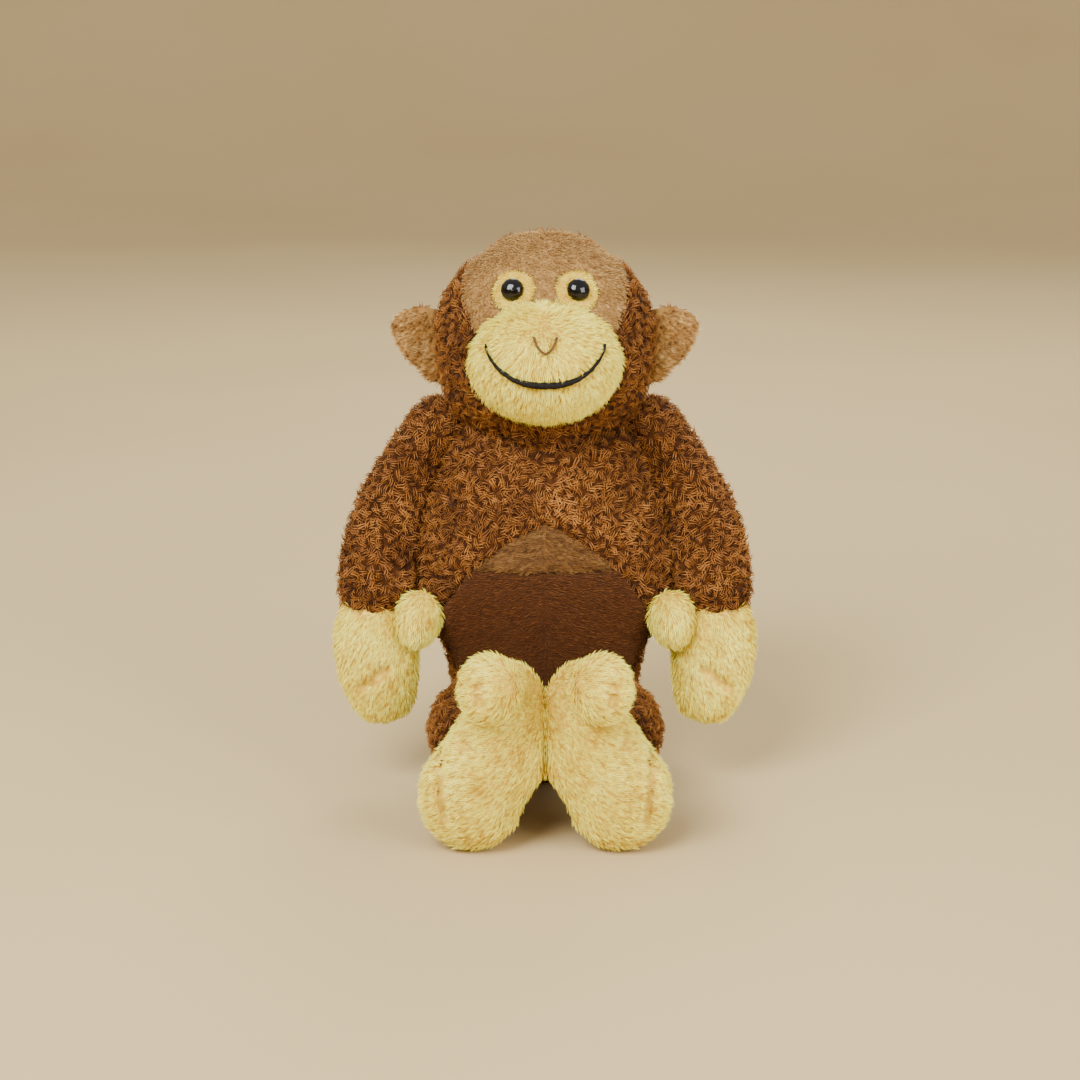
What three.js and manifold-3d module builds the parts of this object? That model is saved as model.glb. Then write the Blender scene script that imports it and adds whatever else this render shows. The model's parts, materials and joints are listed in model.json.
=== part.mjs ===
// Stuffed toy monkey, seated, about 250 mm tall.
// Millimetres, +Z up. The face looks along -Y and the toy's own left side is +X.
// The origin is the middle of the flat seat that the toy sits on.
import * as THREE from 'three';
import Module from 'manifold-3d';
import { mergeVertices } from 'three/addons/utils/BufferGeometryUtils.js';

const wasm = await Module();
wasm.setup();

// ---- driving dimensions ----
const WALL = 3; // plush cloth: knitted backing and flattened pile
const GAP = 0.35; // clearance between pieces that touch
const FILL_GAP = 0.9; // clearance between the filling and its cloth
const SOCKET_GAP = 1.3; // clearance round the ball of a sewn joint
const SEAM = 0.3; // width of the slot left along a sewn seam
const REACH = 120; // length of a cutter that has to pass right through a panel

const SEAT_HEIGHT = 0; // the seat is flat here
const TORSO_SIDE_SEAM = 4; // Y of the side seams
const NECK = new THREE.Vector3(0, -5, 170);
const NECK_RADIUS = 20;
const HEAD_CENTRE = new THREE.Vector3(0, 0, 209);
const HEAD_TILT = THREE.MathUtils.degToRad(-13); // the face looks slightly upwards
const WRIST = new THREE.Vector3(78, -13, 92);
const WRIST_RADIUS = 15.2;
const SHOULDER = new THREE.Vector3(50, 0, 165);
const SHOULDER_RADIUS = 12;
const HIP = new THREE.Vector3(28, -29, 33);
const HIP_RADIUS = 17;
const LEG_SWING = [-10, -4, 15, 35, 50]; // the torso makes room for the leg at these angles
const ANKLE = new THREE.Vector3(29, -72, 42);
const ANKLE_RADIUS = 17.5;
const FOOT_SEAM = -98; // Y of the seam round a foot
const EYE_RADIUS = 5.25;
const EYE_HEIGHT = 4;
const SHANK_RADIUS = 1.6;
const EYE_SPACING = 14.2; // from the middle of the face, in the head's own frame
const EYE_LEVEL = 16.6;
const PATCH_RADIUS = 9.6;
const THREAD = 0.85; // radius of the embroidered smile
const NOSE_THREAD = 0.55;

// ---- colours ----
const BROWN = { color: 0x7a461a, roughness: 1, metalness: 0 };
const CREAM = { color: 0xdcc77f, roughness: 1, metalness: 0 };
const TAN = { color: 0xa97c49, roughness: 1, metalness: 0 };
const BELLY = { color: 0x4c2a13, roughness: 1, metalness: 0 };
const GUSSET = { color: 0x7f5831, roughness: 1, metalness: 0 };
const FILLING = { color: 0xf2f0e8, roughness: 1, metalness: 0 };
const PELLETS = { color: 0xc9c5b8, roughness: 0.7, metalness: 0 };
const BLACK = { color: 0x0a0a0a, roughness: 0.12, metalness: 0 };
const WHITE_PLASTIC = { color: 0xe6e2d6, roughness: 0.5, metalness: 0 };
const BLACK_THREAD = { color: 0x15110e, roughness: 0.6, metalness: 0 };
const BROWN_THREAD = { color: 0x6b4424, roughness: 0.6, metalness: 0 };

// ---- between three.js geometries and solids ----
function bare(geometry) {
  geometry.deleteAttribute('normal');
  geometry.deleteAttribute('uv');
  return mergeVertices(geometry, 1e-4);
}

function solid(geometry) {
  const merged = bare(geometry.clone());
  const mesh = new wasm.Mesh({
    numProp: 3,
    vertProperties: new Float32Array(merged.attributes.position.array),
    triVerts: new Uint32Array(merged.index.array),
  });
  mesh.merge();
  return new wasm.Manifold(mesh);
}

function geometryOf(manifold) {
  const mesh = manifold.getMesh();
  const geometry = new THREE.BufferGeometry();
  geometry.setAttribute('position', new THREE.BufferAttribute(mesh.vertProperties, 3));
  geometry.setIndex(new THREE.BufferAttribute(mesh.triVerts, 1));
  return geometry;
}

// ---- stuffed forms ----
// A station is one oval of a form: its middle, half its width, and its depth in front and behind.
function station(x, y, z, width, front = width, back = front) {
  return { middle: new THREE.Vector3(x, y, z), size: new THREE.Vector3(width, front, back) };
}

// Rings of a rounded end, from its tip to its rim.
function cap(end, direction, height, count) {
  return Array.from({ length: count }, (_, i) => {
    const angle = (Math.PI / 2) * (1 - i / count);
    return {
      middle: end.middle.clone().addScaledVector(direction, height * Math.sin(angle)),
      size: end.size.clone().multiplyScalar(Math.cos(angle)),
    };
  });
}

// A closed stuffed form: smooth through its stations, with a rounded end at both.
// level keeps every ring horizontal; otherwise a ring is square to the spine.
function form(stations, { heads, sides = 10, level = false, capRings = 2 } = {}) {
  const spine = new THREE.CatmullRomCurve3(stations.map((s) => s.middle), false, 'catmullrom');
  const sizes = new THREE.CatmullRomCurve3(stations.map((s) => s.size), false, 'catmullrom');
  const count = stations.length - 1;
  const first = stations[0];
  const last = stations[stations.length - 1];
  const [startHeight, endHeight] = heads ?? [first.size.x, last.size.x];
  const startDirection = level ? new THREE.Vector3(0, 0, 1) : spine.getTangent(0).negate();
  const endDirection = level ? new THREE.Vector3(0, 0, -1) : spine.getTangent(1);
  const rings = cap(first, startDirection, startHeight, capRings);
  for (let i = 0; i <= count; i += 1) {
    const t = i / count;
    rings.push({ middle: spine.getPoint(t), size: sizes.getPoint(t), tangent: spine.getTangent(t) });
  }
  rings.push(...cap(last, endDirection, endHeight, capRings).reverse());
  rings.forEach((ring, i) => {
    ring.tangent ??= (i < capRings ? startDirection.clone().negate() : endDirection).clone();
    if (level) ring.tangent.set(0, 0, -1);
    ring.across = new THREE.Vector3(1, 0, 0).addScaledVector(ring.tangent, -ring.tangent.x).normalize();
    ring.depth = ring.tangent.clone().cross(ring.across).normalize();
    if (ring.depth.y + ring.depth.z < 0) ring.depth.negate();
  });
  const geometry = new THREE.LatheGeometry(rings.map((_, i) => new THREE.Vector2(i, i)), sides);
  const position = geometry.attributes.position;
  for (let i = 0; i < position.count; i += 1) {
    const ring = rings[i % rings.length];
    const angle = (Math.floor(i / rings.length) % sides) * ((2 * Math.PI) / sides);
    const depth = Math.sin(angle) < 0 ? ring.size.y : ring.size.z;
    const point = ring.middle.clone();
    point.addScaledVector(ring.across, ring.size.x * Math.cos(angle));
    point.addScaledVector(ring.depth, depth * Math.sin(angle));
    position.setXYZ(i, point.x, point.y, point.z);
  }
  return outward(bare(geometry));
}

// Turns the faces round if they point inwards.
function outward(geometry) {
  const p = geometry.attributes.position;
  const index = geometry.index.array;
  const [a, b, c] = [new THREE.Vector3(), new THREE.Vector3(), new THREE.Vector3()];
  let volume = 0;
  for (let i = 0; i < index.length; i += 3) {
    a.fromBufferAttribute(p, index[i]);
    b.fromBufferAttribute(p, index[i + 1]);
    c.fromBufferAttribute(p, index[i + 2]);
    volume += a.dot(b.cross(c));
  }
  if (volume < 0) {
    for (let i = 0; i < index.length; i += 3) {
      [index[i], index[i + 1]] = [index[i + 1], index[i]];
    }
  }
  return geometry;
}

// The same form with its surface moved by a distance: inwards when negative.
function offset(geometry, distance) {
  const moved = geometry.clone();
  moved.computeVertexNormals();
  const p = moved.attributes.position;
  const n = moved.attributes.normal;
  for (let i = 0; i < p.count; i += 1) {
    p.setXYZ(
      i,
      p.getX(i) + distance * n.getX(i),
      p.getY(i) + distance * n.getY(i),
      p.getZ(i) + distance * n.getZ(i),
    );
  }
  return moved;
}

function ellipsoid(x, y, z, a, b, c, sides = 10) {
  const geometry = new THREE.SphereGeometry(1, sides, Math.round(sides * 0.6));
  geometry.rotateX(Math.PI / 2);
  return bare(geometry.scale(a, b, c).translate(x, y, z));
}

function ball(centre, radius, sides = 12) {
  return solid(ellipsoid(centre.x, centre.y, centre.z, radius, radius, radius, sides));
}

function block(x0, x1, y0, y1, z0, z1) {
  const box = new THREE.BoxGeometry(x1 - x0, y1 - y0, z1 - z0);
  return solid(box.translate((x0 + x1) / 2, (y0 + y1) / 2, (z0 + z1) / 2));
}

// A cutter with an outline in XZ that runs along Y from y0 to y1.
function cutter(shape, y0, y1) {
  const geometry = new THREE.ExtrudeGeometry(shape, { depth: y1 - y0, bevelEnabled: false, curveSegments: 8 });
  return solid(geometry.rotateX(Math.PI / 2).translate(0, y1, 0));
}

// An outline that is symmetric about X = 0, smooth through the points of its right half.
function symmetric(points, share = 1, middle = 0) {
  const right = new THREE.SplineCurve(points.map(([x, z]) => new THREE.Vector2(x, z))).getPoints(8);
  const left = right.slice(1, -1).reverse().map((p) => new THREE.Vector2(-p.x, p.y));
  return new THREE.Shape([...right, ...left].map((p) => new THREE.Vector2(
    p.x * share,
    middle + (p.y - middle) * share,
  )));
}

function oval(centreZ, a, b) {
  return new THREE.Shape(new THREE.EllipseCurve(0, centreZ, a, b).getPoints(16).slice(0, -1));
}

// ---- scene graph ----
const monkey = new THREE.Group();
const head = new THREE.Group();
head.position.copy(HEAD_CENTRE);
head.rotation.x = HEAD_TILT;
monkey.add(head);

function add(parent, name, shape, look) {
  const geometry = shape.isBufferGeometry ? shape : geometryOf(shape);
  const mesh = new THREE.Mesh(geometry, new THREE.MeshStandardMaterial(look));
  mesh.name = name;
  parent.add(mesh);
  return mesh;
}

// A pair of pieces, one on each side of the toy. The shape given is the left one, at +X.
function addPair(parent, name, shape, look) {
  add(parent, `${name}_left`, shape, look);
  add(parent, `${name}_right`, shape.mirror([1, 0, 0]), look);
}

// A point given in the toy's frame, in the head's own frame.
function inHead(point) {
  return point.clone().sub(HEAD_CENTRE).applyAxisAngle(new THREE.Vector3(1, 0, 0), -HEAD_TILT);
}

// ---- torso, and the legs' form, which it makes room for ----
const legForm = form([
  station(HIP.x, HIP.y, HIP.z, HIP_RADIUS),
  station(28.5, -43, 36.5, 19.4),
  station(29, -58, 40, 19.8),
  station(ANKLE.x, ANKLE.y, ANKLE.z, ANKLE_RADIUS),
]);
const torsoForm = form([
  station(0, 0, 157, 43, 27, 19),
  station(0, 0, 146, 47.5, 33, 27),
  station(0, 0, 130, 52.5, 38.5, 34),
  station(0, 0, 112, 57.5, 43, 37),
  station(0, 0, 96, 58, 45, 39),
  station(0, 0, 80, 52.5, 45, 40),
  station(0, 0, 64, 46, 43, 40.5),
  station(0, 0, 46, 43, 39, 40.5),
  station(0, 0, 26, 41, 33, 39),
  station(0, 0, 8, 36, 26, 34),
], { heads: [8, 14], sides: 16, level: true });

function buildTorso() {
  const above = (z) => block(-REACH, REACH, -REACH, REACH, z, 2 * REACH);
  const hips = [1, -1].map((side) => ball(HIP.clone().setX(side * HIP.x), HIP_RADIUS + SOCKET_GAP));
  const shoulders = [1, -1].map((side) => (
    ball(SHOULDER.clone().setX(side * SHOULDER.x), SHOULDER_RADIUS + SOCKET_GAP)));
  const thighs = LEG_SWING.flatMap((degrees) => {
    const thigh = offset(legForm, GAP).translate(-HIP.x, -HIP.y, -HIP.z);
    thigh.rotateX(THREE.MathUtils.degToRad(degrees)).translate(HIP.x, HIP.y, HIP.z);
    return [solid(thigh), solid(thigh).mirror([1, 0, 0])];
  });
  const sockets = [ball(NECK, NECK_RADIUS + SOCKET_GAP), ...hips, ...shoulders, ...thighs]
    .reduce((all, one) => all.add(one));
  const outside = solid(torsoForm).intersect(above(SEAT_HEIGHT));
  const inside = solid(offset(torsoForm, -WALL)).intersect(above(SEAT_HEIGHT + WALL));
  const cloth = outside.subtract(inside).subtract(sockets);

  const seatShape = new THREE.CylinderGeometry(1, 1, 2 * WALL + 2, 20).rotateX(Math.PI / 2);
  const seat = (grow) => solid(seatShape.clone().scale(27 + grow, 21 + grow, 1).translate(0, 5, 0));
  const bellyOutline = [[0, 130], [13, 122.5], [25, 114.5], [33, 107], [39, 99],
    [43, 88], [44.5, 76], [43, 62], [34, 52], [18, 47], [0, 46]];
  const belly = (share) => cutter(symmetric(bellyOutline, share, 90), -REACH, TORSO_SIDE_SEAM - 8);
  const gussetLine = 108.5;
  const front = block(-REACH, REACH, -REACH, TORSO_SIDE_SEAM - SEAM / 2, -10, 2 * REACH);
  const back = block(SEAM / 2, REACH, TORSO_SIDE_SEAM + SEAM / 2, REACH, -10, 2 * REACH);
  const bellyCloth = cloth.intersect(belly(1));

  add(monkey, 'seat_panel', outside.subtract(inside).intersect(seat(0)), BROWN);
  add(monkey, 'chest_front', cloth.intersect(front).subtract(belly(1.008)).subtract(seat(SEAM)), BROWN);
  add(monkey, 'belly_gusset', bellyCloth.intersect(above(gussetLine + SEAM)), GUSSET);
  add(monkey, 'belly_panel', bellyCloth.subtract(above(gussetLine)), BELLY);
  addPair(monkey, 'back_panel', cloth.intersect(back).subtract(seat(SEAM)), BROWN);

  const filling = solid(offset(torsoForm, -WALL - FILL_GAP)).intersect(above(SEAT_HEIGHT + WALL + FILL_GAP));
  const pouch = (grow) => solid(ellipsoid(0, 8, 17, 27 + grow, 20 + grow, 11 + grow));
  add(monkey, 'pellet_pouch', pouch(0), PELLETS);
  const mouth = block(-6, 6, 8, 40, 14, 20); // the slit the pouch is pushed in through
  add(monkey, 'torso_stuffing', filling.subtract(sockets).subtract(pouch(GAP)).subtract(mouth), FILLING);
}

// ---- neck ----
function buildNeck() {
  add(monkey, 'neck_plug', ball(NECK, NECK_RADIUS), BROWN);
}

// ---- head, in its own frame ----
const skullForm = form([
  station(0, 0, 37, 25, 27, 27),
  station(0, 0, 30, 36, 35, 36),
  station(0, 0, 19, 44.5, 41, 43),
  station(0, 0, 6, 48.5, 43, 45.5),
  station(0, 0, -8, 48.5, 42, 45),
  station(0, 0, -22, 46, 39, 41),
  station(0, 0, -34, 39, 32, 33),
], { heads: [8.5, 9], sides: 16, level: true });
const MUZZLE = { z: -14.6, width: 32.5, height: 24.6 };
const muzzleForm = ellipsoid(0, -33, MUZZLE.z, MUZZLE.width, 30, MUZZLE.height, 16);
const SMILE = { z: -7.6, width: 24.8, drop: 18 };

const faceSurface = new THREE.Group();
[skullForm, muzzleForm].forEach((geometry) => faceSurface.add(new THREE.Mesh(geometry)));

// The point of the face's surface seen at (x, z) from in front, and its outward normal.
function onFace(x, z) {
  const ray = new THREE.Raycaster(new THREE.Vector3(x, -REACH, z), new THREE.Vector3(0, 1, 0));
  const hit = ray.intersectObject(faceSurface, true)[0];
  return { point: hit.point, normal: hit.face.normal };
}

// Thread that follows the face's surface through the points (x, z).
function stitch(points, radius, steps) {
  const route = points.map(([x, z]) => {
    const { point, normal } = onFace(x, z);
    return point.addScaledVector(normal, radius + GAP + 0.25);
  });
  const section = new THREE.Shape(new THREE.EllipseCurve(0, 0, radius, radius).getPoints(5).slice(0, -1));
  const geometry = new THREE.ExtrudeGeometry(section, {
    steps, bevelEnabled: false, extrudePath: new THREE.CatmullRomCurve3(route),
  });
  return outward(bare(geometry));
}

function buildHead() {
  const neck = ball(inHead(NECK), NECK_RADIUS + SOCKET_GAP);
  const outside = solid(skullForm).add(solid(muzzleForm));
  const hollow = (wall) => solid(offset(skullForm, -wall)).add(solid(offset(muzzleForm, -wall)));
  const cloth = outside.subtract(hollow(WALL)).subtract(neck);

  const faceOutline = [[0, -8], [20, -6], [31.5, 0], [35, 11], [36, 19.5], [34.6, 28], [30, 36], [24, 50], [0, 52]];
  const face = (share) => cutter(symmetric(faceOutline, share, 16), -REACH, -3);
  const muzzle = (grow) => cutter(oval(MUZZLE.z, MUZZLE.width + 0.8 + grow, MUZZLE.height + 0.8 + grow), -REACH, -6);
  // The smile is the lower half of an oval, and the seam runs on from its ends to the cheeks.
  const smileArc = (grow) => new THREE.EllipseCurve(
    0, SMILE.z + grow, SMILE.width - grow, SMILE.drop, Math.PI, 2 * Math.PI);
  const chinSide = (grow) => cutter(new THREE.Shape([
    new THREE.Vector2(-50, 4 + grow), ...smileArc(grow).getPoints(10), new THREE.Vector2(50, 4 + grow),
    new THREE.Vector2(50, -60), new THREE.Vector2(-50, -60),
  ]), -REACH, 0);

  const eyes = [1, -1].map((side) => {
    const { point, normal } = onFace(side * EYE_SPACING, EYE_LEVEL);
    const turn = new THREE.Quaternion().setFromUnitVectors(new THREE.Vector3(0, 1, 0), normal);
    return { point, turn };
  });
  // Shapes drawn about +Y, which becomes the outward normal at an eye.
  const atEye = (geometry, eye) => solid(bare(geometry).applyQuaternion(eye.turn)
    .translate(eye.point.x, eye.point.y, eye.point.z));
  const shaft = (radius, from, to) => (
    new THREE.CylinderGeometry(radius, radius, to - from, 12).translate(0, (from + to) / 2, 0));
  const patchAt = (eye, grow) => atEye(shaft(PATCH_RADIUS + grow, -6, 6), eye);
  const dome = new THREE.LatheGeometry([
    new THREE.Vector2(0, -8), new THREE.Vector2(SHANK_RADIUS, -8), new THREE.Vector2(SHANK_RADIUS, 0),
    new THREE.Vector2(EYE_RADIUS, 0),
    ...Array.from({ length: 4 }, (_, i) => {
      const angle = (i / 4) * (Math.PI / 2);
      return new THREE.Vector2(EYE_RADIUS * Math.cos(angle), 0.6 + (EYE_HEIGHT - 0.6) * Math.sin(angle));
    }),
    new THREE.Vector2(0, EYE_HEIGHT),
  ], 12).translate(0, 0.7, 0);
  const washer = new THREE.LatheGeometry([
    new THREE.Vector2(SHANK_RADIUS + GAP, -7), new THREE.Vector2(6.5, -7), new THREE.Vector2(6.5, -5.6),
    new THREE.Vector2(SHANK_RADIUS + GAP, -5.6), new THREE.Vector2(SHANK_RADIUS + GAP, -7),
  ], 12);

  const patches = eyes.map((eye) => patchAt(eye, SEAM)).reduce((a, b) => a.add(b));
  const pockets = eyes.map((eye) => atEye(shaft(7.4, -10, 3), eye)).reduce((a, b) => a.add(b));
  const faceCloth = cloth.intersect(face(1)).subtract(muzzle(SEAM)).subtract(patches);
  const hood = cloth.subtract(face(1.009)).subtract(muzzle(SEAM));
  const muzzleCloth = cloth.intersect(muzzle(0));
  const leftSide = block(SEAM / 2, REACH, -REACH, REACH, -REACH, REACH);

  addPair(head, 'hood', hood.intersect(leftSide), BROWN);
  add(head, 'face_panel', faceCloth, TAN);
  add(head, 'muzzle_top', muzzleCloth.subtract(chinSide(SEAM)), CREAM);
  add(head, 'chin', muzzleCloth.intersect(chinSide(0)), CREAM);
  ['left', 'right'].forEach((side, i) => {
    const hole = atEye(shaft(SHANK_RADIUS + GAP, -8, 8), eyes[i]);
    const patch = cloth.intersect(patchAt(eyes[i], 0)).subtract(hole).subtract(muzzle(SEAM));
    add(head, `eye_patch_${side}`, patch, CREAM);
    add(head, `eye_${side}`, atEye(dome.clone(), eyes[i]), BLACK);
    add(head, `eye_washer_${side}`, atEye(washer.clone(), eyes[i]), WHITE_PLASTIC);
  });
  add(head, 'head_stuffing', hollow(WALL + FILL_GAP).subtract(neck).subtract(pockets), FILLING);

  const smile = smileArc(0).getPoints(16).map((p) => [p.x, p.y]);
  add(head, 'smile_stitch', stitch(smile, THREAD, 20), BLACK_THREAD);
  add(head, 'nose_stitch', stitch([[-4.9, -5.6], [-3, -9.8], [0, -12.4], [3, -9.8], [4.9, -5.6]], NOSE_THREAD, 10), BROWN_THREAD);
}

// ---- ears, in the head's frame ----
const EAR = { x: 53.5, y: 5, z: -4, reach: 13.5, height: 18.5, thickness: 4.6 };
function buildEars() {
  const whole = solid(ellipsoid(EAR.x, EAR.y, EAR.z, EAR.reach, EAR.thickness, EAR.height, 12));
  const clear = solid(offset(skullForm, 1.9));
  const ear = whole.subtract(clear);
  const part = (y0, y1) => ear.intersect(block(0, REACH, y0, y1, -REACH, REACH));
  addPair(head, 'ear_front', part(-REACH, EAR.y - SEAM / 2), TAN);
  addPair(head, 'ear_back', part(EAR.y + SEAM / 2, REACH), BROWN);
}

// ---- arms and hands ----
const armForm = form([
  station(SHOULDER.x, SHOULDER.y, SHOULDER.z, SHOULDER_RADIUS),
  station(62, -2, 149.5, 11.2),
  station(70.5, -4.5, 134, 12.6),
  station(75.8, -8, 118, 13.8),
  station(77.8, -11, 104, 14.8),
  station(WRIST.x, WRIST.y, WRIST.z, WRIST_RADIUS),
]);
const handForm = form([
  station(78, -14.5, 83, 16.8, 15, 15),
  station(78, -17, 68, 17.8, 15.5, 15),
  station(76.8, -19.5, 54, 17, 13.5, 13),
  station(74.4, -21, 42.5, 13.8, 10.5, 10.5),
], { heads: [16.8, 9.5] });
const THUMB = { x: 58, y: -30.5, z: 83 };

function buildArms() {
  const wrist = ball(WRIST, WRIST_RADIUS + SOCKET_GAP);
  // Everything of a sleeve beyond this block is the mouth that the filling shows in.
  const cuff = block(0, REACH, -REACH, REACH, WRIST.z - 6, 2 * REACH);
  const sleeve = solid(armForm).intersect(cuff).subtract(solid(offset(armForm, -WALL)));
  addPair(monkey, 'sleeve', sleeve, BROWN);
  addPair(monkey, 'arm_stuffing', solid(offset(armForm, -WALL - FILL_GAP)), FILLING);

  const clear = wrist.add(solid(offset(armForm, SOCKET_GAP)));
  addPair(monkey, 'hand', solid(handForm).subtract(solid(offset(handForm, -WALL))).subtract(clear), CREAM);
  addPair(monkey, 'hand_stuffing', solid(offset(handForm, -WALL - FILL_GAP)).subtract(clear), FILLING);
  const lobe = solid(ellipsoid(THUMB.x, THUMB.y, THUMB.z, 8.8, 8.8, 12.5));
  addPair(monkey, 'thumb', lobe.subtract(solid(offset(handForm, 0.6))).subtract(clear), CREAM);
}

// ---- legs and feet ----
const footForm = form([
  station(15, -101, 77, 10, 9, 9),
  station(17, -101.5, 68, 14, 13, 13),
  station(22.8, -100, 50, 19.2, 16, 16),
  station(28, -98, 35, 24.4, 18, 17),
  station(31.8, -97, 22, 22.4, 17, 17),
], { heads: [9, 21.2], sides: 12, level: true, capRings: 3 });
const TOE = { x: 23.4, y: -120, z: 80 };

function buildLegs() {
  const ankle = ball(ANKLE, ANKLE_RADIUS + SOCKET_GAP);
  const shin = block(-REACH, REACH, ANKLE.y - 7, REACH, -REACH, REACH);
  const leg = solid(legForm).intersect(shin).subtract(solid(offset(legForm, -WALL)));
  addPair(monkey, 'leg', leg, BROWN);
  addPair(monkey, 'leg_stuffing', solid(offset(legForm, -WALL - FILL_GAP)), FILLING);

  const clear = ankle.add(solid(offset(legForm, SOCKET_GAP)));
  const foot = solid(footForm).subtract(solid(offset(footForm, -WALL))).subtract(clear);
  const sole = block(-REACH, REACH, -2 * REACH, FOOT_SEAM - SEAM / 2, -REACH, REACH);
  const instep = block(-REACH, REACH, FOOT_SEAM + SEAM / 2, REACH, -REACH, REACH);
  addPair(monkey, 'foot_sole', foot.intersect(sole), CREAM);
  addPair(monkey, 'foot_upper', foot.intersect(instep), CREAM);
  addPair(monkey, 'foot_stuffing', solid(offset(footForm, -WALL - FILL_GAP)).subtract(clear), FILLING);
  const lobe = solid(ellipsoid(TOE.x, TOE.y, TOE.z, 12.8, 12, 14.5));
  addPair(monkey, 'big_toe', lobe.subtract(solid(offset(footForm, 0.6))), CREAM);
}

buildTorso();
buildNeck();
buildHead();
buildEars();
buildArms();
buildLegs();

export default monkey;
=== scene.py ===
"""A seated plush monkey in curly brown and long cream pile, all of it real tufts on sewn panels."""

import json
import math

import bmesh
import bpy
from mathutils import Matrix, Vector, kdtree, noise
from mathutils.bvhtree import BVHTree


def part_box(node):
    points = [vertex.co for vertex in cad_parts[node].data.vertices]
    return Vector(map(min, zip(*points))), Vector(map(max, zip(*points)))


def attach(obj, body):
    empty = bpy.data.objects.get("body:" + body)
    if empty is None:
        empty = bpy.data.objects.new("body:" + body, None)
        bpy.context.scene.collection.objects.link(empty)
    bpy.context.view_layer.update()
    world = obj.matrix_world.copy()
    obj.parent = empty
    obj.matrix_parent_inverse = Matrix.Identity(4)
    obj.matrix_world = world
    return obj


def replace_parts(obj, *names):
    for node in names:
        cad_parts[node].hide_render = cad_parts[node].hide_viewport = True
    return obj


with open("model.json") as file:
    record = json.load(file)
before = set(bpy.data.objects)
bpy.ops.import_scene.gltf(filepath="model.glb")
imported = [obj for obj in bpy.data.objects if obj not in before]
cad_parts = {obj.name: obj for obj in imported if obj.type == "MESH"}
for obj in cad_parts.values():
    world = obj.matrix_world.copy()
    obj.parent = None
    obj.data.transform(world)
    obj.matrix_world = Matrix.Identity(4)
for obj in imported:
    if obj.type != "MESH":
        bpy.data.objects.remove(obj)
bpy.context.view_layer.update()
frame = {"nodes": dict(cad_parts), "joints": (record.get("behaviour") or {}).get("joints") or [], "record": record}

MM = 0.001
X = Vector((1, 0, 0))
UP = Vector((0, 0, 1))
SIDES = ("left", "right")

# ---- the head's own frame, from its ears' joint ----
EAR_JOINT = next(j for j in frame["joints"] if j["name"] == "left_ear_fold")
HEAD_UP = Vector(EAR_JOINT["axis"]).normalized()
HEAD_BACK = HEAD_UP.cross(X)
EAR_PLACE = Vector((0, *EAR_JOINT["pos_m"][1:]))
HEAD_CENTRE = EAR_PLACE - 5 * MM * HEAD_BACK + 4 * MM * HEAD_UP

CLUMP_SHADE_SCALE = 340  # painted shade and highlight of tuft clusters, in blotches about 3 mm across
GROUND_VOXEL = 1.6 * MM  # detail of the sewn panels
FORM_VOXEL = 4.5 * MM  # detail of the forms that are inflated
# How far the filling may push the cloth out
SWELL = {"torso": 2.4 * MM, "left_leg": 4.4 * MM, "left_arm": 3.6 * MM, "left_hand": 3.4 * MM, "neck": 5 * MM}
USUAL_SWELL = 1.6 * MM
FULLNESS = {"left_leg": 3.0 * MM, "left_hand": 1.0 * MM, "left_arm": 1.0 * MM}  # further out still
SOFTENING = {"torso": 10, "head": 7, "left_foot": 3, "left_arm": 2, "left_leg": 2}  # rounds of smoothing
TOUCH_REACH = 17 * MM  # limbs closer than this press against each other
STITCH_ROOM = 0.6 * MM  # no pile this close to an embroidered line
FLOOR_ROOM = 0.3 * MM
PRESSURE = 4
FRAMES = 20  # the filling swells over this many frames
HIDDEN_DEPTH = 1.7 * MM  # cloth deeper than this in its form is its back
# Pile is left off near other limbs so it does not grow into them; the wider bare strips on the torso and arms show
# the dark backing as painted shade of the crease between them.
SOCKET_REACH = 3.2 * MM  # no pile this close to another limb
FREE_REACH = {"neck": 0.8 * MM, "torso": 5.5 * MM, "left_arm": 5.5 * MM, "left_hand": 1 * MM}
CUFF_TOP = 108 * MM  # below this a sleeve's pile runs down to its cuff
CUFF_REACH = 1 * MM
SEAM_FILL = 0.45 * MM  # closes the seams between panels
SEAM_EASE = 3 * MM  # a panel is eased to the middle seam over this width
SEAM_SHORT = 1.0 * MM  # how far short of it the panel's edge falls
# Painted shade: a nearly bare seam or tack shows the darker backing as the shade in its groove.
BARE_DEPTH = 1.1 * MM  # a seam or tack deeper than this is nearly bare
BARE_COVER = 0.15  # the share of its pile that is left there
STITCHED = ("foot_sole", "hand", "big_toe")  # panels with a seam or tack of their own
FILLING_VOXEL = 3 * MM
FILLING_ROOM = 1.4 * MM  # between a filling and its cloth
EYE_VOXEL = 0.4 * MM
CLOSED_REACH = 14 * MM  # a filling this close to another limb is behind cloth

BODY_OF = {n: b for b, nodes in frame["record"]["behaviour"]["bodies"].items() for n in nodes}
SLOT_OF = {s["node"]: s["material_slot"] for s in frame["record"]["subparts"]}


def head_point(x, y, z):
    """A point of the head's own frame, in millimetres, in the row frame."""
    return HEAD_CENTRE + (x * X + y * HEAD_BACK + z * HEAD_UP) * MM


# ---- node trees ----
class Wire:
    """A number on its way through a node tree. Sums and products add Math nodes."""

    def __init__(self, graph, socket):
        self.graph = graph
        self.socket = socket

    def _math(self, operation, a, b):
        made = self.graph.node("ShaderNodeMath", {"operation": operation}, {0: a, 1: b})
        return Wire(self.graph, made.outputs[0])

    def __add__(self, other):
        return self._math("ADD", self, other)

    def __sub__(self, other):
        return self._math("SUBTRACT", self, other)

    def __mul__(self, other):
        return self._math("MULTIPLY", self, other)


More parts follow.
